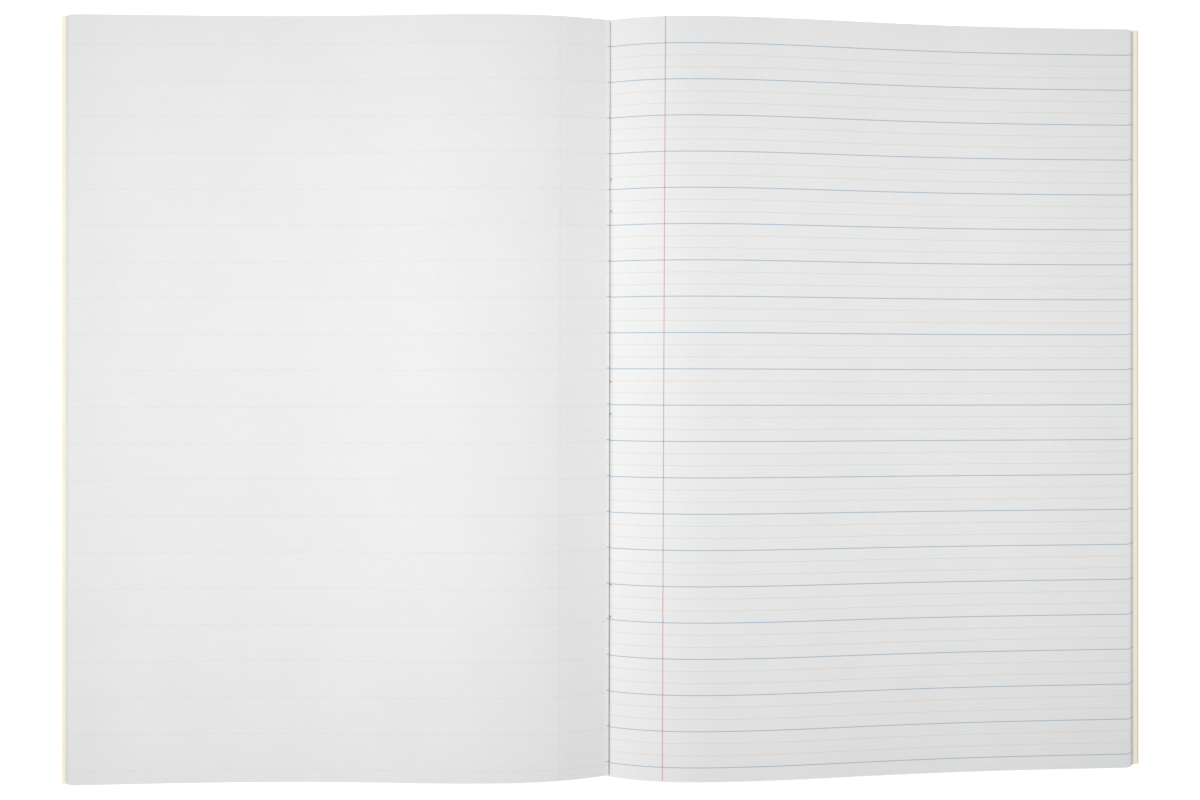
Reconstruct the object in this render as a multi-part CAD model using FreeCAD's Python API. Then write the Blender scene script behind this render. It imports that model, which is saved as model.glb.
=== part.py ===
import FreeCAD, Part
import math
import os

# A stapled A4 exercise book that lies open on its cover, in millimetres.
# The origin is the middle of the cover's fold, on the surface the book lies on.
# +X runs to the right-hand fore-edge, +Y to the head of the pages and +Z up.

# Page format
page_height = 297.0
cover_half_width = 213.0
corner_radius = 1.0

# Cover card
card_thickness = 0.3
fold_reach = 6.0            # the card starts to rise this far from its fold
fold_gap = 0.1              # between the two halves of the card, at the hinge
crown_clearance = 0.1       # between a staple's crown and the card above it

# Leaves: each half is one block
leaf_thickness = 0.085
left_leaf_count = 20
right_leaf_count = 28
leaf_seat = 0.1             # between the card's raised fold and the leaves over it
leaf_reach = 8.0            # the leaves start to rise this far from the fold
left_cover_margin = 0.9     # card that shows past the lowest leaf
right_cover_margin = 2.5
fore_edge_setback = 2.5     # the top leaf stops this far short of the lowest one
arch_reach = 42.0           # from the fold to the crest of the arched leaves
arch_rise = 1.6             # from the leaves at the gutter up to the crest
arch_run = 108.0            # from the crest out to where the leaves lie flat

# Gutter: the parting between the blocks, which leans over the left-hand leaves
gutter_gap = 0.3
gutter_foot = -0.25         # place of its middle, where it meets the card
gutter_mouth = -1.75        # place of its middle, where the open pages meet

# Staples
wire_diameter = 0.5
crown_length = 13.0
staple_pitch = 79.5
clinch_arm = 4.0            # length of leg that is bent over, from the leg's centre
bend_radius = 0.45          # of the wire's centre line
slit_clearance = 0.08       # round the wire, where it passes card and leaves

# Sizes that follow from those above
wire_radius = wire_diameter / 2
fold_lift = wire_diameter + crown_clearance
stitch_floor = card_thickness + fold_lift + leaf_seat
left_stack = left_leaf_count * leaf_thickness
right_stack = right_leaf_count * leaf_thickness
inner_sheets = right_stack - left_stack
leg_height = stitch_floor + right_stack - inner_sheets / 2 - wire_diameter
leg_place = (crown_length - wire_diameter) / 2

staple_places = {
    "staple_head": staple_pitch,
    "staple_middle": 0.0,
    "staple_tail": -staple_pitch,
}


def section_point(x, z):
    """Point of a cross-section, in the plane square to the fold."""
    return FreeCAD.Vector(x, 0, z)


def level_arc(level, far):
    """Arc that is level at its first point and passes through its second."""
    run = far.x - level.x
    rise = far.z - level.z
    radius = (run ** 2 + rise ** 2) / (2 * abs(rise))
    upward = math.copysign(1, rise)
    half_turn = math.asin(run / radius) / 2
    middle = section_point(level.x + radius * math.sin(half_turn),
                           level.z + upward * radius * (1 - math.cos(half_turn)))
    return Part.Arc(level, middle, far).toShape()


def prism(edges):
    """Cross-section carried along the whole height of the page."""
    face = Part.Face(Part.Wire(edges))
    face.translate(FreeCAD.Vector(0, -page_height / 2, 0))
    return face.extrude(FreeCAD.Vector(0, page_height, 0))


def round_corners(block, fore_edge):
    """Round the head and tail corners of everything beyond fore_edge."""
    corners = [edge for edge in block.Edges
               if edge.BoundBox.XMin > fore_edge and edge.BoundBox.YLength < corner_radius]
    return block.makeFillet(corner_radius, corners)


def left_hand(shape):
    """Mirror of a right-hand shape."""
    return shape.mirror(FreeCAD.Vector(0, 0, 0), FreeCAD.Vector(1, 0, 0))


def card_half():
    """Right-hand half of the cover: flat, then lifted to the fold over the staples."""
    end = fold_gap / 2
    under_fold = section_point(end, fold_lift)
    over_fold = section_point(end, fold_lift + card_thickness)
    under_flat = section_point(fold_reach, 0)
    over_flat = section_point(fold_reach, card_thickness)
    under_edge = section_point(cover_half_width, 0)
    over_edge = section_point(cover_half_width, card_thickness)
    card = prism([
        Part.makeLine(under_edge, under_flat),
        level_arc(under_flat, under_fold),
        Part.makeLine(under_fold, over_fold),
        level_arc(over_flat, over_fold),
        Part.makeLine(over_flat, over_edge),
        Part.makeLine(over_edge, under_edge),
    ])
    return round_corners(card, cover_half_width - corner_radius)


def leaf_block(stack, cover_margin, stitch_low, stitch_top, gutter_face):
    """Right-hand block of leaves: up its gutter face, over the arch and out flat."""
    lowest_edge = cover_half_width - cover_margin
    top_edge = lowest_edge - fore_edge_setback
    seat = section_point(leaf_reach, card_thickness)
    crest = section_point(arch_reach, stitch_floor + stack + arch_rise)
    arch_foot = section_point(arch_reach + arch_run, card_thickness + stack)
    between = section_point((crest.x + arch_foot.x) / 2, (crest.z + arch_foot.z) / 2)
    top = section_point(top_edge, arch_foot.z)
    low = section_point(lowest_edge, card_thickness)
    block = prism([
        Part.makeLine(low, seat),
        level_arc(seat, stitch_low),
        *gutter_face,
        level_arc(crest, stitch_top),
        level_arc(crest, between),
        level_arc(arch_foot, between),
        Part.makeLine(arch_foot, top),
        Part.makeLine(top, low),
    ])
    return round_corners(block, top_edge - corner_radius)


def left_leaves():
    """Block on the front cover, whose stitched edge slopes back under the gutter."""
    low = section_point(gutter_gap / 2 - gutter_foot, stitch_floor)
    top = section_point(gutter_gap / 2 - gutter_mouth, stitch_floor + left_stack)
    gutter_face = [Part.makeLine(low, top)]
    return left_hand(leaf_block(left_stack, left_cover_margin, low, top, gutter_face))


def right_leaves():
    """Block on the back cover. Its inner sheets fold round the clinched staples."""
    low = section_point(gutter_gap / 2 + gutter_foot, stitch_floor)
    mouth = section_point(gutter_gap / 2 + gutter_mouth, stitch_floor + left_stack)
    top = section_point(mouth.x + inner_sheets, mouth.z + inner_sheets)
    gutter_face = [Part.makeLine(low, mouth), level_arc(top, mouth)]
    return leaf_block(right_stack, right_cover_margin, low, top, gutter_face)


def staple_point(along, up, place):
    """Point on a staple's centre line, from the middle of its crown."""
    return FreeCAD.Vector(0, place + along, wire_radius + up)


def rounded_path(points):
    """Wire of straight runs through the points, with a tangent arc at each bend."""
    edges = []
    start = points[0]
    for before, corner, after in zip(points, points[1:], points[2:]):
        back = (before - corner).normalize()
        ahead = (after - corner).normalize()
        half_angle = back.getAngle(ahead) / 2
        to_tangent = bend_radius / math.tan(half_angle)
        to_middle = bend_radius / math.sin(half_angle) - bend_radius
        arc_start = corner + back * to_tangent
        arc_end = corner + ahead * to_tangent
        arc_middle = corner + (back + ahead).normalize() * to_middle
        edges.append(Part.makeLine(start, arc_start))
        edges.append(Part.Arc(arc_start, arc_middle, arc_end).toShape())
        start = arc_end
    edges.append(Part.makeLine(start, points[-1]))
    return Part.Wire(edges)


def staple(place):
    """Staple with its crown under the fold and both legs clinched inward."""
    tip = leg_place - clinch_arm
    outline = [(-tip, leg_height), (-leg_place, leg_height), (-leg_place, 0),
               (leg_place, 0), (leg_place, leg_height), (tip, leg_height)]
    points = [staple_point(along, up, place) for along, up in outline]
    section = Part.makeCircle(wire_radius, points[0], points[1] - points[0])
    return rounded_path(points).makePipeShell([Part.Wire(section)], True, True)


def slit(place):
    """Room for a staple's legs and clinch: an arch as thick as the wire and its clearance."""
    room = wire_radius + slit_clearance
    outer = leg_place + room
    inner = leg_place - room
    outline = [(-outer, 0), (-outer, leg_height + room), (outer, leg_height + room), (outer, 0),
               (inner, 0), (inner, leg_height - room), (-inner, leg_height - room), (-inner, 0)]
    points = [staple_point(along, up, place) for along, up in outline]
    face = Part.Face(Part.makePolygon(points + points[:1]))
    face.translate(FreeCAD.Vector(-room, 0, 0))
    return face.extrude(FreeCAD.Vector(2 * room, 0, 0))


def stitched(shape):
    """Shape with a slit for each staple that passes it."""
    for place in staple_places.values():
        shape = shape.cut(slit(place))
    return shape


def build():
    """All the pieces of the book, by name."""
    pieces = {
        "front_cover": stitched(left_hand(card_half())),
        "back_cover": stitched(card_half()),
        "left_leaves": stitched(left_leaves()),
        "right_leaves": stitched(right_leaves()),
    }
    for name, place in staple_places.items():
        pieces[name] = staple(place)
    return pieces


os.makedirs("parts", exist_ok=True)
for name, shape in build().items():
    solid = shape.Solids[0]
    print(name, "valid", shape.isValid(), "solids", len(shape.Solids), "volume", round(solid.Volume, 3))
    solid.exportStep("parts/" + name + ".step")
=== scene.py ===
import math
import random
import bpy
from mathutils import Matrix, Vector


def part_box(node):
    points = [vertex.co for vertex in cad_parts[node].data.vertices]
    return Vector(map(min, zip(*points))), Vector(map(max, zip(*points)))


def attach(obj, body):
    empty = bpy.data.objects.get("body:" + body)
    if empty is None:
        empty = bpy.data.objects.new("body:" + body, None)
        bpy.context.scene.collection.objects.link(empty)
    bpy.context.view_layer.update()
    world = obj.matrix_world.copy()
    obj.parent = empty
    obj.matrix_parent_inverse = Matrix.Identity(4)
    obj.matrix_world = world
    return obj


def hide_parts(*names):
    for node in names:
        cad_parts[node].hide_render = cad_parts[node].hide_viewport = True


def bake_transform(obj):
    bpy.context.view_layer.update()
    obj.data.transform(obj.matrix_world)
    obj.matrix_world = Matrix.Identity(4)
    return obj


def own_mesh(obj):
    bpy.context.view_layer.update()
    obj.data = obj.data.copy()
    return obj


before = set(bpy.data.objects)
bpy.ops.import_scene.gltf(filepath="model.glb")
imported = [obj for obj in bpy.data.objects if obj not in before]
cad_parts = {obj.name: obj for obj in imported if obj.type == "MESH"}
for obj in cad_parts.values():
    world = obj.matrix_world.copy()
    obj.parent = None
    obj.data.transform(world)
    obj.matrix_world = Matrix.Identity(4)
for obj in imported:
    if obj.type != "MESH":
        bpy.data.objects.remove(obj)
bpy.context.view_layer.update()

from types import SimpleNamespace

import bpy
import numpy as np
from mathutils import Euler, Vector

# An open exercise book. Everything is built in millimetres in the CAD frame and scaled at
# the end: +X to the right-hand page's fore-edge, +Y to the head, +Z up from the table.
MM = 0.001


def cad_mm(node):
    """A CAD node's lowest and highest corners, in millimetres."""
    low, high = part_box(node)
    return [c / MM for c in low], [c / MM for c in high]


COVER_REACH = cad_mm("back_cover")[1][0]  # fold to the card's fore-edge
HALF_HEIGHT = cad_mm("back_cover")[1][1]  # middle to the head, and to the tail
CARD = 0.3  # thickness of the card
FOLD_LIFT = 0.6  # the card's fold stands this high, over the staples' crowns
FOLD_REACH = 6.0  # and the card is flat again this far out
CORNER = 1.0  # radius of the card's and leaves' corners
CORNER_ROWS = (0.3, 1.0)  # rows of points this far in from the head and the tail
LEG_ROWS = 2.0  # and closer rows this far to each side of a staple's leg
CARD_OUT, CARD_LEAN = 0.15, 0.1  # the card's left edge stands out and leans by this much
CARD_OUT_RIGHT = 0.16  # and its right edge stands out by this

PITCH = 0.085  # one leaf in the stack
LEAF = 0.078  # the leaf itself: the rest is air
CRACK_X = -1.15  # where the two open pages meet
ARCH_X = -1.55  # where the arches' slopes are measured from
CREST = 40.5  # from there to the top of each arch
DOME = 1.6  # the arches stand this much higher at mid-height than at the head and tail
DOME_AT, DOME_REACH = 45.0, 40.0  # the dome's middle, from the crack, and its spread
DOME_LENGTH = 2 * HALF_HEIGHT + 6.0  # its length from tail to head
FLARE_REACH = 2.2  # how soon the upturned lip at the crack dies away
SWAY_REACH = 8.0  # and how soon the crack's lean does
COCKLE = 0.06  # height of the paper's waves
CORNER_CURL = 0.25  # and how far its fore-edge corners lift
THROUGH = 20  # leaves on each side whose other half is on the other side
AIR_POWER = 1.7  # how the air under the arch is shared among the leaves
LOWEST_LIP = 0.06  # width over which the lowest leaf turns down at the gutter
TIGHTEST_FOLD = 0.012  # radius of the innermost leaf's fold
TRIM = (0.01, 0.09)  # how unevenly the leaves are cut at head and tail
MISPRINT = (0.1, 0.6)  # and how far their ruling strays
NO_SHADE_RIM = 50.0  # added to the rim of the two top leaves, so that no painted shade falls on their edges

STAPLE_Y = (79.5, 0.0, -79.5)
LEG = 6.25  # staple middle to each leg
LEG_Y = [middle + leg for middle in STAPLE_Y for leg in (-LEG, LEG)]
CLINCH_ARM = 4.0  # length of leg that is bent over
BEND_RADIUS = 0.45  # of the wire's centre line
CHAMFER = 0.06  # of the wire's cut ends
NOTCH_WIDTH, NOTCH_DEPTH = 0.4, 0.3  # of the dent in the open page at each leg
PULLED_IN, PULLED_UP = 0.07, 0.05  # how a staple shifts the open page between its legs
PULL_SHORT, PULL_SOFT = 0.8, 0.35  # this ends so far short of the legs, and so softly
PULL_REACH = 0.5  # how far out from the crack both are felt

# One set of values for each side of the open book. The arch of the open page:
#   rise    height of its crest over the flat leaves
#   dip     share of the rise that is lost at the crack, and power: how fast
#   run     how far the arch reaches beyond its crest
#   flare   height of the upturned lip at the crack
# The leaves:
#   foot    x at the bottom of the folds, and lean: how far they lean to the left from it
#   lip     width over which the highest through leaf turns down at the gutter
#   ends    reach of the lowest leaf, of the highest but one and of the open page
#   clean  added to the rim of the leaves, which makes the painted shade on the left-hand
#   ones lighter
# How the head and tail edges and the crack stray:
#   skew_in       at the gutter, and over what reach
#   skew_out      at the fore-edge, and card_skew: the same for the card
#   sway          lean of the crack from tail to head
#   notch         dent at each staple's leg
LEFT = SimpleNamespace(
    name="left", body="front_half", sign=-1, leaves=20, rise=7.66, dip=0.903, power=2.37,
    run=59.7, flare=0.55, foot=-0.4, lean=1.0, lip=0.14, ends=(211.8, 209.9, 208.8),
    skew_in=(0.54, 24.0), skew_out=-0.45, card_skew=-0.43,
    sway=0.28, notch=0.06, clean=3.0,
)
RIGHT = SimpleNamespace(
    name="right", body="back_half", sign=1, leaves=28, rise=9.49, dip=0.901, power=2.52,
    run=74.8, flare=0.0, foot=-0.1, lean=1.1, lip=0.06, ends=(210.9, 208.7, 207.9),
    skew_in=(0.24, 16.0), skew_out=0.3, card_skew=0.85,
    sway=0.2, notch=0.45, clean=0.0,
)


# ---------------------------------------------------------------- shapes of the paper


def card_top(x):
    """Height of the card's upper face, with its low ridge at the fold."""
    t = np.clip(np.abs(x) / FOLD_REACH, 0, 1)
    return CARD + FOLD_LIFT * (1 - t) ** 2 * (1 + 2 * t)


def arch(side, d):
    """Share of the arch's rise at a distance d from ARCH_X."""
    climb = 1 - side.dip * np.clip(1 - d / CREST, 0, 1.1) ** side.power
    return np.where(d < CREST, climb, np.exp(-(((d - CREST) / side.run) ** 2)))


def page_height(side, x):
    """Height of the side's open page at its head and tail."""
    flat = CARD + side.leaves * PITCH
    curl = side.flare * np.exp(-np.abs(x - CRACK_X) / FLARE_REACH)
    return flat + side.rise * arch(side, side.sign * (x - ARCH_X)) + curl


def dome(side, x, y):
    """How much higher the open page stands towards mid-height."""
    d = side.sign * (x - CRACK_X)
    along_y = np.cos(math.pi * y / DOME_LENGTH)
    return DOME * np.exp(-(((d - DOME_AT) / DOME_REACH) ** 2)) * along_y


def ripple(side, x, y):
    """A slight cockle in the paper, never negative, that grows to the fore-edge corners."""
    d = side.sign * (x - CRACK_X)
    lengthwise = 0.5 * np.sin(0.031 * y + 1.3 * side.sign)
    crosswise = 0.5 * np.sin(0.043 * d + 0.02 * y)
    waves = 1 + lengthwise + crosswise
    outward = np.clip(d / COVER_REACH, 0, 1)
    corner = outward**4 * (np.abs(y) / HALF_HEIGHT) ** 3
    return COCKLE * waves * outward + CORNER_CURL * corner


def skew(side, x, up):
    """How far a leaf's edges stray towards the head. up is 1 for the open page."""
    d = np.maximum(side.sign * (x - CRACK_X), 0)
    size, reach = side.skew_in
    return size * up**3 * np.exp(-d / reach) + side.skew_out * (d / COVER_REACH) ** 4


def leaf_height(side, i, x, y):
    """Height of the upper face of leaf i, counted from the card."""
    ridge = card_top(x)
    air = np.maximum(page_height(side, x) - ridge - side.leaves * PITCH, 0)
    share = (i / side.leaves) ** AIR_POWER
    return ridge + i * PITCH + share * (air + ripple(side, x, y) + dome(side, x, y))


def leaf_root(side, i):
    """Where leaf i meets the gutter: x, z and the width over which it turns down."""
    if i <= THROUGH:
        up = i / THROUGH
        x = side.foot - side.lean * up
        lip = LOWEST_LIP + (side.lip - LOWEST_LIP) * up
        return x, float(card_top(x)) + i * PITCH, lip
    inner = side.leaves - THROUGH  # these are folded round the clinches, one in another
    nested = abs(i - THROUGH - inner / 2 - 0.25) + 0.25
    middle = side.foot - side.lean + inner / 2 * PITCH
    radius = max(nested * PITCH, TIGHTEST_FOLD)
    x = middle - radius
    level = float(leaf_height(side, THROUGH + inner / 2, middle, 0.0))
    return x, level, radius


def fore_edge(side, i):
    """Reach of leaf i: the leaves are trimmed to a slope and the open page stops short."""
    lowest, upper, page = side.ends
    if i == side.leaves:
        return page
    return lowest + (upper - lowest) * (i - 1) / (side.leaves - 2)


def leaf_line(side, i, steps, turn):
    """Leaf i's x positions, gutter first, and its drop below leaf_height at each."""
    x_root, z_root, lip = leaf_root(side, i)
    drop = float(leaf_height(side, i, x_root, 0.0)) - z_root
    angle = np.linspace(0, math.pi / 2, turn + 1)
    x_turn = x_root + side.sign * lip * (1 - np.cos(angle))
    reach = fore_edge(side, i) - abs(x_turn[-1]) * (1 if x_turn[-1] * side.sign > 0 else -1)
    t = np.linspace(0, 1, steps + 1)[1:]  # raised below, for more points near the gutter
    corner = reach - CORNER * (1 - np.sin(np.linspace(0, math.pi / 2, 6)[1:]))
    x_flat = x_turn[-1] + side.sign * np.concatenate([(reach - CORNER) * t**1.7, corner])
    x = np.concatenate([x_turn, x_flat])
    drops = np.concatenate([drop * (1 - np.sin(angle)), np.zeros(len(x_flat))])
    return x, drops


def rows(fine):
    """y positions from tail to head, closer together at the staples where fine."""
    ys = set(np.round(np.linspace(-HALF_HEIGHT, HALF_HEIGHT, 56 if fine else 15), 3))
    for inset in CORNER_ROWS:
        ys |= {-HALF_HEIGHT + inset, HALF_HEIGHT - inset}
    if fine:
        for leg in LEG_Y:
            ys |= set(np.round(leg + np.linspace(-LEG_ROWS, LEG_ROWS, 17), 3))
    return np.array(sorted(ys))


def near(y, places, width):
    """1 at the given places along y, falling to 0 within about a width."""
    return sum(np.exp(-(((y - p) / width) ** 2)) for p in places)


def pull(side, x, y):
    """The open page's shifts in x and z where the staples notch it and pull it in."""
    d = np.maximum(side.sign * (x - CRACK_X), 0)
    at_leg = near(y, LEG_Y, NOTCH_WIDTH)
    between = sum(
        1 / (1 + np.exp(-(LEG - PULL_SHORT - np.abs(y - middle)) / PULL_SOFT))
        for middle in STAPLE_Y
    )
    fade = np.exp(-d / PULL_REACH)
    shift_x = side.sign * (side.notch * at_leg - PULLED_IN * between) * fade
    return shift_x, (PULLED_UP * between - NOTCH_DEPTH * at_leg) * fade


# ---------------------------------------------------------------- meshes


def sheet_grid(side, i, ys, steps, turn, draw, staples_pull):
    """Leaf i's upper and lower faces as grids of points, its page coordinates and its rim.

    The rim is each point's distance from the fore-edge, near which shade is painted.
    """
    x, drops = leaf_line(side, i, steps, turn)
    below = i != side.leaves
    trim = draw.uniform(*TRIM) * below
    X, Y = np.meshgrid(x, ys, indexing="ij")
    reach = abs(x[-1])
    inside = np.clip((np.abs(x) - (reach - CORNER)) / CORNER, 0, 1)[:, None]
    short = CORNER * (1 - np.sqrt(1 - inside**2))
    Y = Y * (HALF_HEIGHT - trim - short) / HALF_HEIGHT
    down = HALF_HEIGHT - Y + draw.uniform(*MISPRINT) * below
    Z = leaf_height(side, i, X, Y) - drops[:, None]
    Y = Y + skew(side, X, i / side.leaves)
    fade = np.exp(-np.abs(X - CRACK_X) / SWAY_REACH)
    X = X + side.sway * Y / HALF_HEIGHT * i / side.leaves * fade
    if staples_pull:
        dx, dz = pull(side, X, Y)
        X, Z = X + dx, Z + dz
    slope_x, slope_z = np.gradient(X, axis=0), np.gradient(Z, axis=0)
    size = np.hypot(slope_x, slope_z)
    normal_x, normal_z = -side.sign * slope_z / size, side.sign * slope_x / size
    upper = np.stack([X, Y, Z], -1)
    lower = np.stack([X - LEAF * normal_x, Y, Z - LEAF * normal_z], -1)
    steps_along = np.hypot(np.diff(X, axis=0), np.diff(Z, axis=0))
    along = np.vstack([np.zeros((1, len(ys))), np.cumsum(steps_along, axis=0)])
    # Painted shade near the fore-edge: none on the two top leaves, less on the left
    clean = NO_SHADE_RIM if i >= side.leaves - 1 else side.clean
    rim = np.broadcast_to((reach - np.abs(x))[:, None] + clean, X.shape)
    return upper, lower, np.stack([along, down], -1), rim


def slab(upper, lower, flip):
    """Vertices, quads and each quad's kind (0 upper, 1 lower, 2 edge) of one thin solid."""
    nx, ny = upper.shape[:2]
    count = nx * ny
    points = np.concatenate([upper.reshape(-1, 3), lower.reshape(-1, 3)])
    at = np.arange(count).reshape(nx, ny)
    top = np.stack([at[:-1, :-1], at[1:, :-1], at[1:, 1:], at[:-1, 1:]], -1).reshape(-1, 4)
    ring = np.concatenate([at[:-1, 0], at[-1, :-1], at[:0:-1, -1], at[0, :0:-1]])
    after = np.roll(ring, -1)
    wall = np.stack([after, ring, ring + count, after + count], -1)
    quads = np.concatenate([top, top[:, ::-1] + count, wall])
    kinds = np.repeat([0, 1, 2], [len(top), len(top), len(wall)])
    return points, (quads[:, ::-1] if flip else quads), kinds


def make_object(
    name, points, faces, materials, kinds=None, uv=None, values=None, sharp=0.9
):
    """A mesh object from millimetre points, with page coordinates and values per point.

    kinds picks each face's material, and edges bent more than sharp radians look sharp.
    """
    mesh = bpy.data.meshes.new(name)
    faces = faces.tolist() if isinstance(faces, np.ndarray) else faces
    mesh.from_pydata((np.asarray(points) * MM).tolist(), [], faces)
    for material in materials:
        mesh.materials.append(material)
    if kinds is not None:
        mesh.polygons.foreach_set("material_index", np.minimum(kinds, len(materials) - 1))
    if uv is not None:
        corners = np.zeros(len(mesh.loops), np.int32)
        mesh.loops.foreach_get("vertex_index", corners)
        layer = mesh.uv_layers.new(name="page")
        layer.uv.foreach_set("vector", uv[corners].astype(np.float32).ravel())
    for key, numbers in (values or {}).items():
        layer = mesh.attributes.new(key, "FLOAT", "POINT")
        layer.data.foreach_set("value", np.asarray(numbers, np.float32))
    mesh.polygons.foreach_set("use_smooth", np.ones(len(mesh.polygons), bool))
    mesh.set_sharp_from_angle(angle=sharp)
    mesh.update()
    made = bpy.data.objects.new(name, mesh)
    bpy.context.scene.collection.objects.link(made)
    return made


def leaf_object(name, side, i, materials):
    """Leaf i of a side, counted from the card; the open page on top is the finest."""
    draw = random.Random(name)
    fine = i == side.leaves
    steps, turn = (110, 8) if fine else (30, 4)
    upper, lower, page, rim = sheet_grid(side, i, rows(fine), steps, turn, draw, fine)
    points, faces, kinds = slab(upper, lower, side.sign < 0)
    values = {"tone": np.full(len(points), draw.random()), "rim": np.tile(rim.ravel(), 2)}
    page = np.tile(page.reshape(-1, 2), (2, 1))
    return make_object(name, points, faces, materials, kinds, page, values)


def card_object(name, material):
    """The whole cover: one card with a folded ridge and rounded corners."""
    straight = COVER_REACH - CORNER
    half = np.concatenate([
        np.arange(0, FOLD_REACH, 0.25),
        np.linspace(FOLD_REACH, 60, 10),
        np.linspace(66, straight, 20),
        straight + CORNER * np.sin(np.linspace(0.3, math.pi / 2, 5)),
    ])
    x = np.concatenate([-half[:0:-1], half])
    ys = rows(False)
    X, Y = np.meshgrid(x, ys, indexing="ij")
    inside = np.clip((np.abs(x) - straight) / CORNER, 0, 1)[:, None]
    Y = Y * (HALF_HEIGHT - CORNER * (1 - np.sqrt(1 - inside**2))) / HALF_HEIGHT
    Z = card_top(X)
    outward = (np.abs(X) / COVER_REACH) ** 4
    Y = Y + outward * np.where(X < 0, LEFT.card_skew, RIGHT.card_skew)
    left_out = -CARD_OUT - CARD_LEAN * Y / HALF_HEIGHT
    X = X + outward * np.where(X < 0, left_out, CARD_OUT_RIGHT)
    upper, lower = np.stack([X, Y, Z], -1), np.stack([X, Y, Z - CARD], -1)
    points, faces, kinds = slab(upper, lower, False)
    page = np.tile(np.stack([X, Y], -1).reshape(-1, 2), (2, 1))
    return make_object(name, points, faces, [material], uv=page)


def wire_line(node):
    """Centreline of a staple in the plane x = 0, from one cut end to the other."""
    low, high = cad_mm(node)
    radius = high[0]
    middle = (low[1] + high[1]) / 2
    crown, clinch = low[2] + radius, high[2] - radius
    leg = (high[1] - low[1]) / 2 - radius
    corners = [(leg - CLINCH_ARM, clinch), (leg, clinch), (leg, crown)]
    corners += [(-y, z) for y, z in reversed(corners)]
    line = [np.array(corners[0])]
    for before, at, after in zip(corners, corners[1:], corners[2:]):
        before, at, after = map(np.array, (before, at, after))
        a = (before - at) / np.linalg.norm(before - at)
        b = (after - at) / np.linalg.norm(after - at)
        centre = at + BEND_RADIUS * (a + b)
        for angle in np.linspace(0, math.pi / 2, 7):
            line.append(centre - BEND_RADIUS * (b * math.cos(angle) + a * math.sin(angle)))
    line.append(np.array(corners[-1]))
    return np.array([(0, middle + y, z) for y, z in line]), radius


def wire_object(name, node, material):
    """A staple of round wire, with its cut ends chamfered."""
    line, radius = wire_line(node)
    ahead = np.gradient(line, axis=0)
    ahead /= np.linalg.norm(ahead, axis=1)[:, None]
    across = np.array([1.0, 0, 0])
    around = 18  # sides of the wire
    turn = np.linspace(0, 2 * math.pi, around, endpoint=False)
    rings = []
    spots = [(line[0] - ahead[0] * CHAMFER, ahead[0], 0.7)]
    spots += [(p, a, 1.0) for p, a in zip(line, ahead)]
    spots += [(line[-1] + ahead[-1] * CHAMFER, ahead[-1], 0.7)]
    for point, along, size in spots:
        up = np.cross(along, across)
        ring = np.outer(np.cos(turn), across) + np.outer(np.sin(turn), up)
        rings.append(point + radius * size * ring)
    points = np.concatenate(rings)
    last = (len(spots) - 1) * around
    faces = []
    for ring in range(0, last, around):
        for j in range(around):
            n = (j + 1) % around
            faces.append((ring + j, ring + n, ring + around + n, ring + around + j))
    faces.append(tuple(range(around))[::-1])
    faces.append(tuple(range(last, last + around)))
    return make_object(name, points, faces, [material], sharp=0.6)


# ---------------------------------------------------------------- materials


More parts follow.
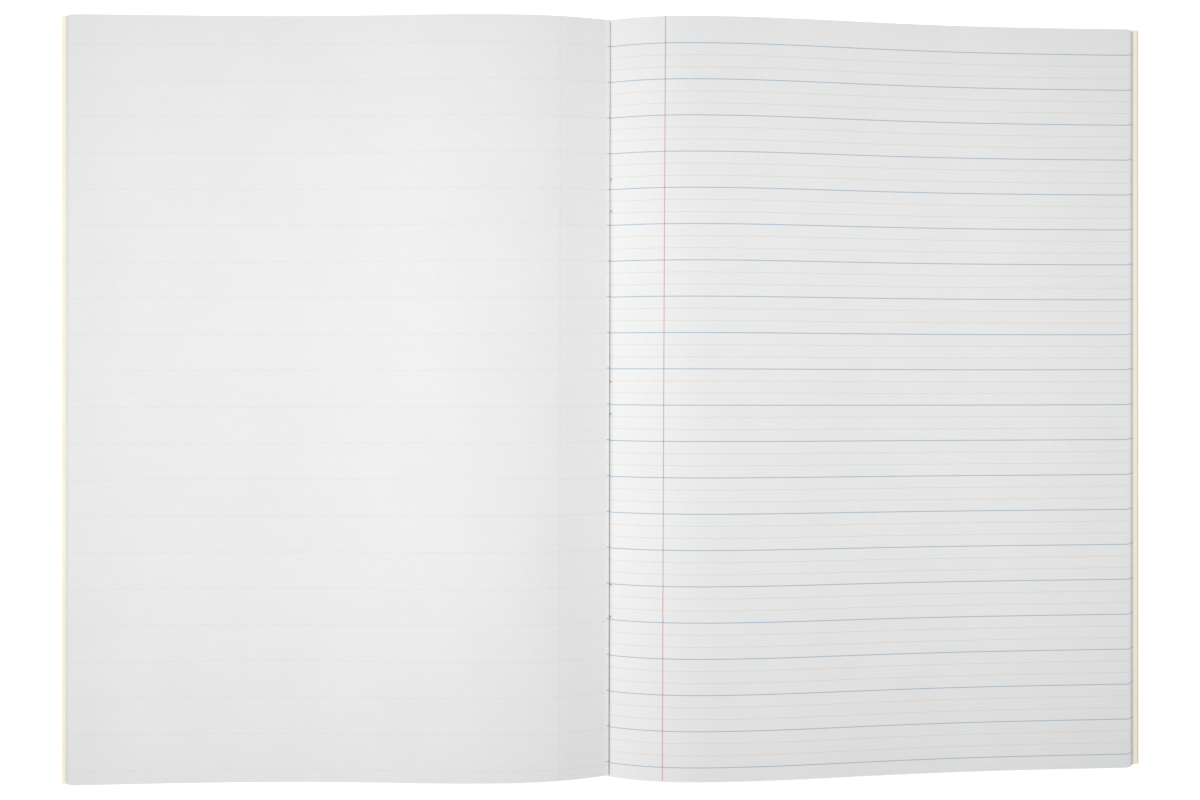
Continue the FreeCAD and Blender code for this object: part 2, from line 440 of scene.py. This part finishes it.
class Graph:
    """The node tree of a material or a world, with short calls for the nodes used."""

    def __init__(self, owner):
        owner.use_nodes = True
        self.owner = owner
        self.tree = owner.node_tree
        self.tree.nodes.clear()

    def feed(self, socket, value):
        if isinstance(value, bpy.types.NodeSocket):
            self.tree.links.new(value, socket)
        else:
            socket.default_value = value

    def node(self, kind, feeds=None, **settings):
        made = self.tree.nodes.new("ShaderNode" + kind)
        for key, value in settings.items():
            setattr(made, key, value)
        for key, value in (feeds or {}).items():
            self.feed(made.inputs[key], value)
        return made

    def calc(self, operation, *values):
        made = self.node("Math", dict(enumerate(values)), operation=operation)
        return made.outputs[0]

    def times(self, first, *others):
        """The product of all the values."""
        for value in others:
            first = self.calc("MULTIPLY", first, value)
        return first

    def off(self, value, place):
        """How far value is from place, to either side."""
        return self.calc("ABSOLUTE", self.calc("SUBTRACT", value, place))

    def fit(self, value, low, high, out_low=0.0, out_high=1.0, smooth=True):
        """value mapped from low..high to out_low..out_high and held there."""
        made = self.node(
            "MapRange",
            {0: value, 1: low, 2: high, 3: out_low, 4: out_high},
            interpolation_type="SMOOTHSTEP" if smooth else "LINEAR",
        )
        return made.outputs[0]

    def within(self, distance, edge, strength=1.0):
        """strength up to the first distance in edge, fading to nothing at the second."""
        return self.fit(distance, *edge, strength, 0.0)

    def mix(self, share, a, b, blend="MIX"):
        made = self.node("Mix", data_type="RGBA", blend_type=blend)
        self.feed(made.inputs[0], share)
        self.feed(made.inputs[6], a)
        self.feed(made.inputs[7], b)
        return made.outputs[2]

    def noise(self, vector, scale, detail=2.0, roughness=0.5, stretch=None):
        if stretch is not None:
            vector = self.node("Mapping", {"Vector": vector, "Scale": stretch}).outputs[0]
        feeds = {"Vector": vector, "Scale": scale, "Detail": detail, "Roughness": roughness}
        return self.node("TexNoise", feeds).outputs[0]

    def specks(self, place, scale, share, widest, smooth):
        """1 on round specks that reach up to widest, in all but that share of the cells."""
        cells = self.node("TexVoronoi", {"Vector": place, "Scale": scale}).outputs
        size = self.node("SeparateColor", {0: cells["Color"]}).outputs[0]
        reach = self.fit(size, share, 1.0, 0.0, widest, smooth)
        return self.calc("LESS_THAN", cells["Distance"], reach)

    def seen(self):
        """1 for camera, glossy and transmission rays, 0 for those that light things up."""
        path = self.node("LightPath").outputs
        through = self.calc("MAXIMUM", path["Is Glossy Ray"], path["Is Transmission Ray"])
        return self.calc("MAXIMUM", path["Is Camera Ray"], through)

    def finish(self, colour, roughness, height, distance, **plain):
        """A surface whose bump, from height, is distance metres high."""
        feeds = {"Base Color": colour, "Roughness": roughness}
        feeds.update({key.replace("_", " "): value for key, value in plain.items()})
        shader = self.node("BsdfPrincipled", feeds)
        bump = self.node("Bump", {"Height": height, "Strength": 1.0, "Distance": distance})
        self.feed(shader.inputs["Normal"], bump.outputs[0])
        self.node("OutputMaterial", {"Surface": shader.outputs[0]})
        return self.owner


# Lengths on the page are in millimetres: along from the gutter and down from the head. An
# edge is the distance at which print starts to fade, and the distance at which it is gone.
PAPER = (0.80, 0.80, 0.80, 1)
CLOUDS = (0.992, 1.006)  # darkest and lightest, as a share of the paper's colour
FIBRES = (0.976, 1.019)
LEAVES = (0.985, 1.0)
HEAD_TAIL_DARKENING = -0.055  # added at the head and tail edges, which are darker
# Painted light and shade along the page: start and end of a span, and the level at each.
# Ruled page: painted shade towards the fore-edge, and painted shade near the gutter giving
# way to painted light further out
RULED_LIGHT_AND_SHADE = ((145.0, 210.0, 1.0, 0.97), (40.0, 75.0, 0.985, 1.012))
# Plain page: painted shade towards the fore-edge, painted light near the gutter and a
# painted highlight on the lip at the crack
PLAIN_LIGHT_AND_SHADE = ((180.0, 210.0, 1.0, 0.97), (6.0, 34.0, 1.03, 1.0), (1.8, 3.4, 1.06, 1.0))
# Painted shade on the lower leaves' stepped fore-edges, under the leaf above, and the rim
# in millimetres over which it fades
FORE_EDGE_SHADE = (0.84, 0.83, 0.88, 1)
FORE_EDGE_SHADE_EDGE = (1.0, 4.0)
SPECK_BROWN = (0.42, 0.36, 0.28, 1)
# Painted shade in the holes at the staples' legs: a dark grey mark, and how far it reaches
# down and along the page
HOLE_SHADE = (0.10, 0.10, 0.11, 1)
HOLE_EDGE, HOLE_ALONG_EDGE, HOLE_SHARE = (0.2, 0.6), (0.6, 1.15), 0.8

RULE_BLUE = (0.31, 0.44, 0.56, 1)
RULE_EDGE = (0.12, 0.21)
RULE_PITCH = 14.05
FIRST_RULE = 10.5  # head edge to the first rule
LAST_RULE = 20  # number of the last rule, counted from 0

DOT_GREY = (0.50, 0.50, 0.53, 1)
DOT_EDGE = (0.07, 0.15)
DOT_PITCH = 0.8
DOT_LENGTH_EDGE = (0.20, 0.32)  # half a dot, in shares of DOT_PITCH
DOT_SHARE = 0.8  # how much of the paper's colour a dot covers
INK = (0.86, 1.0)  # and a rule, where its ink is thin and where it is full

MARGIN_RED = (0.74, 0.36, 0.34, 1)
MARGIN_EDGE = (0.12, 0.20)
MARGIN_AT = 22.5  # at the head
MARGIN_LEAN = -0.0028  # how far it leans to the gutter for each millimetre down the page

STUB_EDGE = (1.95, 2.35)  # print that turns over the fold ends here on the plain page
STUB_DOT_SHARE, STUB_RULE_SHARE = 0.7, 0.9

# The print behind the plain page. It lies lower, is a little longer from head to tail, and
# that lessens with each millimetre along.
GHOST_DOWN, GHOST_STRETCH, GHOST_LESS = 0.6, 0.6, -0.004
GHOST_MARGIN_AT = 21.4
GHOST_BLUE, GHOST_BLUE_EDGE, GHOST_BLUE_SHARE = (0.35, 0.42, 0.5, 1), (0.15, 0.55), 0.062
GHOST_DOT, GHOST_DOT_EDGE, GHOST_DOT_SHARE = (0.3, 0.3, 0.3, 1), (0.1, 0.4), 0.008
GHOST_RED, GHOST_RED_EDGE, GHOST_RED_SHARE = (0.80, 0.45, 0.42, 1), (0.2, 0.6), 0.09
GHOST_STEP = (GHOST_MARGIN_AT - 0.3, GHOST_MARGIN_AT + 0.3)  # darker up to the margin
GHOST_STEP_SHARE = 0.006


def ruling(g, down):
    """Distance from the nearest rule, 1 where rules are printed, and both for guides."""
    cell = g.calc("DIVIDE", g.calc("SUBTRACT", down, FIRST_RULE), RULE_PITCH)
    nearest = g.calc("ROUND", cell)
    from_rule = g.times(g.off(cell, nearest), RULE_PITCH)
    has_rule = g.times(
        g.calc("GREATER_THAN", nearest, -0.5),
        g.calc("LESS_THAN", nearest, LAST_RULE + 0.5),
    )
    third = g.times(cell, 3.0)
    from_guide = g.times(g.off(third, g.calc("ROUND", third)), RULE_PITCH / 3)
    has_guide = g.times(
        g.calc("GREATER_THAN", cell, 0.1),
        g.calc("LESS_THAN", cell, LAST_RULE - 0.1),
        g.calc("GREATER_THAN", from_rule, 1.0),
    )
    return from_rule, has_rule, from_guide, has_guide


def paper_level(g, along, across, fibre, place, tone, ruled):
    """How light the paper is: clouds, fibres, one leaf or another, darker head and tail
    edges, and painted light and shade along the page.
    """
    darker_ends = g.times(g.calc("POWER", g.calc("ABSOLUTE", across), 3.0), HEAD_TAIL_DARKENING)
    return g.times(
        g.fit(g.noise(place, 0.045, 3.0, 0.55), 0.3, 0.7, *CLOUDS),
        g.fit(fibre, 0.25, 0.75, *FIBRES),
        g.fit(tone, 0.0, 1.0, *LEAVES, smooth=False),
        g.calc("ADD", darker_ends, 1.0),
        # painted light and shade along the page
        *(g.fit(along, *span) for span in (RULED_LIGHT_AND_SHADE if ruled else PLAIN_LIGHT_AND_SHADE)),
    )


def add_print(g, colour, along, down, rule, dots, ink):
    """The ruled side: guides, rules, the red margin and painted shade in the holes at the
    staples' legs.
    """
    colour = g.mix(g.times(dots, DOT_SHARE), colour, DOT_GREY)
    colour = g.mix(g.times(rule, ink), colour, RULE_BLUE)
    margin = g.off(along, g.calc("MULTIPLY_ADD", down, MARGIN_LEAN, MARGIN_AT))
    margin = g.times(g.within(margin, MARGIN_EDGE), ink)
    colour = g.mix(margin, colour, MARGIN_RED, "MULTIPLY")
    # Painted shade in the staples' leg holes, just out from the gutter
    hole_shade = 0.0
    for y in LEG_Y:
        hole_shade = g.calc("MAXIMUM", hole_shade, g.within(g.off(down, HALF_HEIGHT - y), HOLE_EDGE))
    hole_shade = g.times(hole_shade, g.within(along, HOLE_ALONG_EDGE, HOLE_SHARE))
    return g.mix(hole_shade, colour, HOLE_SHADE)


def add_ghost(g, colour, along, down, across, rule, dots):
    """The plain side: stubs of the print at the fold, and the print behind, very faint."""
    stub = g.within(along, STUB_EDGE)
    colour = g.mix(g.times(dots, stub, STUB_DOT_SHARE), colour, DOT_GREY)
    colour = g.mix(g.times(rule, stub, STUB_RULE_SHARE), colour, RULE_BLUE)
    stretch = g.calc("MULTIPLY_ADD", along, GHOST_LESS, GHOST_STRETCH)
    slip = g.calc("MULTIPLY_ADD", across, stretch, GHOST_DOWN)
    from_rule, has_rule, from_guide, has_guide = ruling(g, g.calc("SUBTRACT", down, slip))
    rule = g.times(g.within(from_rule, GHOST_BLUE_EDGE, GHOST_BLUE_SHARE), has_rule)
    colour = g.mix(rule, colour, GHOST_BLUE)
    guide = g.times(g.within(from_guide, GHOST_DOT_EDGE, GHOST_DOT_SHARE), has_guide)
    colour = g.mix(guide, colour, GHOST_DOT)
    from_margin = g.off(along, GHOST_MARGIN_AT)
    margin = g.within(from_margin, GHOST_RED_EDGE, GHOST_RED_SHARE)
    colour = g.mix(margin, colour, GHOST_RED)
    return g.mix(g.within(along, GHOST_STEP, GHOST_STEP_SHARE), colour, GHOST_DOT)


def paper_material(name, ruled):
    """Writing paper, ruled or plain."""
    g = Graph(bpy.data.materials.new(name))
    page = g.node("UVMap", uv_map="page").outputs[0]
    along, down, _ = g.node("SeparateXYZ", {0: page}).outputs
    across = g.calc("SUBTRACT", g.calc("DIVIDE", down, HALF_HEIGHT), 1.0)
    tone = g.node("Attribute", attribute_name="tone").outputs["Fac"]
    rim = g.node("Attribute", attribute_name="rim").outputs["Fac"]
    place = g.node("CombineXYZ", {0: along, 1: down, 2: g.times(tone, 90.0)}).outputs[0]
    fibre = g.noise(place, 1.6, 4.0, 0.65, stretch=(0.6, 1.3, 1.0))
    grain = g.noise(place, 5.0, 2.0, 0.6)

    level = paper_level(g, along, across, fibre, place, tone, ruled)
    grey = g.node("CombineColor", {0: level, 1: level, 2: level}).outputs[0]
    colour = g.mix(1.0, PAPER, grey, "MULTIPLY")
    # Painted shade on the lower leaves near their fore-edges
    colour = g.mix(g.within(rim, FORE_EDGE_SHADE_EDGE), colour, FORE_EDGE_SHADE, "MULTIPLY")

    from_rule, has_rule, from_guide, has_guide = ruling(g, down)
    rule = g.times(g.within(from_rule, RULE_EDGE), has_rule)
    from_dot = g.off(g.calc("FRACT", g.calc("DIVIDE", along, DOT_PITCH)), 0.5)
    dots = g.times(
        g.within(from_guide, DOT_EDGE), has_guide, g.within(from_dot, DOT_LENGTH_EDGE)
    )
    if ruled:
        ink = g.fit(g.noise(place, 2.4, 2.0), 0.3, 0.7, *INK)
        colour = add_print(g, colour, along, down, rule, dots, ink)
    else:
        colour = add_ghost(g, colour, along, down, across, rule, dots)
    speck = g.specks(place, 0.055, 0.55, 0.011, smooth=False)
    colour = g.mix(g.times(speck, 0.3), colour, SPECK_BROWN)

    height = g.calc("ADD", g.times(fibre, 0.7), g.times(grain, 0.5))
    rough = g.fit(fibre, 0.2, 0.8, 0.82, 0.92)
    return g.finish(colour, rough, height, 0.000012, Specular_IOR_Level=0.25)


# The card's and the wire's textures are in metres.
CARD_DEEP, CARD_LIGHT = (0.895, 0.83, 0.67, 1), (0.915, 0.855, 0.705, 1)
CARD_FIBRE = (0.84, 0.76, 0.59, 1)
CARD_FLECK = (0.55, 0.42, 0.25, 1)
CARD_WORN = (0.93, 0.88, 0.76, 1)
CREASE_EDGE = (0.0003, 0.0016)  # of the worn crease, from the fold
CARD_RIGHT_PAINTED_LIGHT = (0.955, 0.88, 0.69, 1)  # painted light: the right-hand edge made lighter
CARD_EDGE_SHADE = (0.42, 0.38, 0.36, 1)  # and painted shade: the dark line along its very edge
STEEL_LIGHT, STEEL_DARK = (0.50, 0.50, 0.52, 1), (0.38, 0.38, 0.39, 1)

FLOOR_COLOUR = (0.82, 0.82, 0.82, 1)
FLOOR_FADE = (0.35, 0.8)  # metres from the middle over which the floor's glow grows
FLOOR_GLOW = (0.45, 1.0)  # from the first to the second
WORLD_LEVEL = 0.52  # strength of the world's light on the book


def card_material(name):
    """Cream manila card: soft fibres, a fine tooth and a few darker flecks."""
    g = Graph(bpy.data.materials.new(name))
    place = g.node("TexCoord").outputs["Object"]
    x = g.node("SeparateXYZ", {0: place}).outputs[0]
    right = COVER_REACH * MM
    fibre = g.noise(place, 900.0, 4.0, 0.65, stretch=(0.5, 1.4, 1.0))
    tooth = g.noise(place, 3200.0, 2.0, 0.6)
    cloud = g.fit(g.noise(place, 45.0, 3.0, 0.55), 0.3, 0.7)
    colour = g.mix(cloud, CARD_DEEP, CARD_LIGHT)
    colour = g.mix(g.fit(fibre, 0.35, 0.75, 0.0, 0.35), colour, CARD_FIBRE)
    fleck = g.specks(place, 160.0, 0.5, 0.05, smooth=True)
    colour = g.mix(g.times(fleck, 0.35), colour, CARD_FLECK)
    crease = g.within(g.calc("ABSOLUTE", x), CREASE_EDGE)
    worn = g.fit(g.noise(place, 1500.0, 3.0), 0.4, 0.7, 0.15, 0.6)
    colour = g.mix(g.times(crease, worn), colour, CARD_WORN)
    # Painted light on the card's right-hand edge
    colour = g.mix(g.fit(x, 0.19, right - 0.002), colour, CARD_RIGHT_PAINTED_LIGHT)
    # Painted shade: a dark line along the card's right-hand edge
    edge_shade = g.fit(x, right - 0.0006, right - 0.0001, 0.0, 0.55)
    colour = g.mix(edge_shade, colour, CARD_EDGE_SHADE)
    height = g.calc("ADD", g.times(fibre, 0.8), g.times(tooth, 0.5))
    rough = g.fit(tooth, 0.2, 0.8, 0.62, 0.78)
    return g.finish(colour, rough, height, 0.00002, Specular_IOR_Level=0.35)


def steel_material(name):
    """Staple wire with drawing lines along it and a little dullness."""
    g = Graph(bpy.data.materials.new(name))
    place = g.node("TexCoord").outputs["Object"]
    drawn = g.noise(place, 2500.0, 3.0, 0.6, stretch=(4.0, 0.06, 1.0))
    dull = g.noise(place, 700.0, 3.0, 0.6)
    colour = g.mix(g.fit(dull, 0.35, 0.7), STEEL_LIGHT, STEEL_DARK)
    lines, dulled = g.fit(drawn, 0.3, 0.7, 0.0, 0.14), g.fit(dull, 0.3, 0.7, 0.22, 0.36)
    rough = g.calc("ADD", lines, dulled)
    return g.finish(colour, rough, drawn, 0.00001, Metallic=1.0)


def floor_material(name):
    """A white floor that takes the book's shadow, and whose glow lights nothing."""
    g = Graph(bpy.data.materials.new(name))
    plain = g.node("BsdfDiffuse", {"Color": FLOOR_COLOUR})
    place = g.node("TexCoord").outputs["Object"]
    away = g.node("VectorMath", {0: place}, operation="LENGTH").outputs["Value"]
    glow = g.times(g.seen(), g.fit(away, *FLOOR_FADE, *FLOOR_GLOW))
    lift = g.node("Emission", {"Color": (1, 1, 1, 1), "Strength": glow})
    both = g.node("AddShader", {0: plain.outputs[0], 1: lift.outputs[0]})
    g.node("OutputMaterial", {"Surface": both.outputs[0]})
    return g.owner


def world_light(name):
    """Even light from all around, dim on the book and pure white where it is seen."""
    g = Graph(bpy.data.worlds.new(name))
    strength = g.calc("MULTIPLY_ADD", g.seen(), 1 - WORLD_LEVEL, WORLD_LEVEL)
    background = g.node("Background", {"Color": (1, 1, 1, 1), "Strength": strength})
    g.node("OutputWorld", {"Surface": background.outputs[0]})
    return g.owner


# ---------------------------------------------------------------- camera, lights and floor

CAMERA_MM = (-32.13, -0.94, 500.0)
CAMERA_TURN = (0.054, -3.110, 0.0166)  # degrees
LENS = 37.99
SENSOR = 36.0
CLIP = (0.01, 20.0)
FLOOR_REACH = 2500.0  # middle to each side of the floor

# Lamps: place in millimetres, size in metres and power in watts.
STRIP_MM = (-33.0, 55.0, 560.0)  # a long soft lamp over the gutter, facing straight down
STRIP_SIZE = (0.8, 0.1)
STRIP_POWER = 1.72
SIDE_MM = (-1300.0, -200.0, 300.0)  # a small one low on the left, which shapes the arches
SIDE_SIZE = (0.1, 0.1)
SIDE_POWER = 6.0
LOW_AWAY, LOW_UP = 1300.0, 80.0  # lamps that light the book's thin sides
LOW_SIZE = (0.4, 0.12)
LOW_LAMPS = (("head", 0, 1, 4.5), ("tail", 0, -1, 4.5), ("right", 1, 0, 2.0))


def add_lamp(name, place, size, power, target):
    """A rectangular lamp at a place, facing a target, both in millimetres."""
    lamp = bpy.data.lights.new(name, "AREA")
    lamp.shape, lamp.energy = "RECTANGLE", power
    lamp.size, lamp.size_y = size
    made = bpy.data.objects.new(name, lamp)
    made.location = [c * MM for c in place]
    facing = Vector(target) - Vector(place)
    made.rotation_euler = facing.to_track_quat("-Z", "Y").to_euler()
    bpy.context.scene.collection.objects.link(made)


def set_stage():
    """The camera over the open book, the lamps, the world's light and the floor."""
    scene = bpy.context.scene
    data = bpy.data.cameras.new("camera")
    data.lens, data.sensor_width, data.sensor_fit = LENS, SENSOR, "HORIZONTAL"
    data.clip_start, data.clip_end = CLIP
    camera = bpy.data.objects.new("camera", data)
    camera.location = [c * MM for c in CAMERA_MM]
    camera.rotation_euler = Euler([math.radians(a) for a in CAMERA_TURN], "XYZ")
    scene.collection.objects.link(camera)
    scene.camera = camera

    add_lamp("strip", STRIP_MM, STRIP_SIZE, STRIP_POWER, (STRIP_MM[0], STRIP_MM[1], 0))
    add_lamp("side", SIDE_MM, SIDE_SIZE, SIDE_POWER, (0, 0, 0))
    for name, x, y, power in LOW_LAMPS:
        place = (x * LOW_AWAY, y * LOW_AWAY, LOW_UP)
        add_lamp(name, place, LOW_SIZE, power, (0, 0, 0))
    scene.world = world_light("world")

    far = FLOOR_REACH
    corners = [(-far, -far, 0), (far, -far, 0), (far, far, 0), (-far, far, 0)]
    floor = make_object("floor", corners, [(0, 1, 2, 3)], [floor_material("floor")])
    scene.view_settings.view_transform = "Standard"


# ---------------------------------------------------------------- the book

set_stage()

plain_paper = paper_material("paper_plain", ruled=False)
ruled_paper = paper_material("paper_ruled", ruled=True)
card = card_material("cover_card")
steel = steel_material("staple_steel")

cover = card_object("cover", card)
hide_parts("front_cover", "back_cover")
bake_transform(cover)

for side, up, under in (
    (LEFT, plain_paper, ruled_paper),
    (RIGHT, ruled_paper, plain_paper),
):
    for i in range(1, side.leaves + 1):
        leaf = leaf_object(f"{side.name}_leaf_{i:02}", side, i, [up, under, plain_paper])
        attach(leaf, side.body)
        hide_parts(f"{side.name}_leaves")
        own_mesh(leaf)

for node in ("staple_head", "staple_middle", "staple_tail"):
    wire = wire_object(f"{node}_wire", node, steel)
    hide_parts(node)
    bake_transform(wire)
